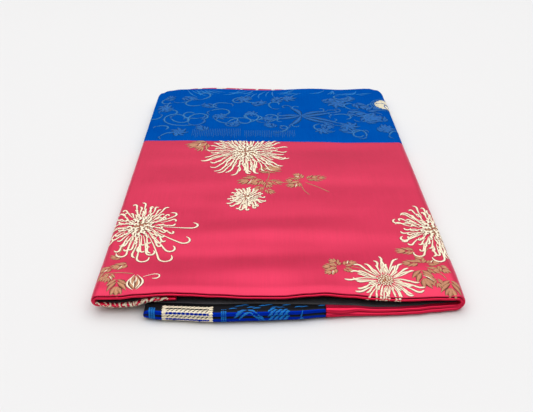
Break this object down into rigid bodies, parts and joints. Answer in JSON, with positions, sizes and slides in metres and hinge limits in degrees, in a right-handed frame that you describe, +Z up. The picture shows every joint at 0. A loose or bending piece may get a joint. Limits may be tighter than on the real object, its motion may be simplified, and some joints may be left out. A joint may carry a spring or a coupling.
{
  "type": "folded brocade cloth",
  "caption": "Lined brocade cloth folded in three and lying flat: a red flowered satin panel with a blue patterned strip along its end and down its side.",
  "frame": {"origin": "middle of the base, on the surface that the folded cloth lies on", "axes": "+X to the right along the front edge, +Y from the front edge to the back edge, +Z up"},
  "size_m": [0.3298, 0.5188, 0.0218],
  "materials": {
    "red_satin": "satin",
    "blue_satin": "satin",
    "charcoal_cloth": "matte"
  },
  "bodies": {
    "root": {"red_panel": "red_satin", "blue_end_strip": "blue_satin", "blue_side_strip": "blue_satin", "charcoal_lining": "charcoal_cloth", "red_back_facing": "red_satin"}
  },
  "joints": []
}
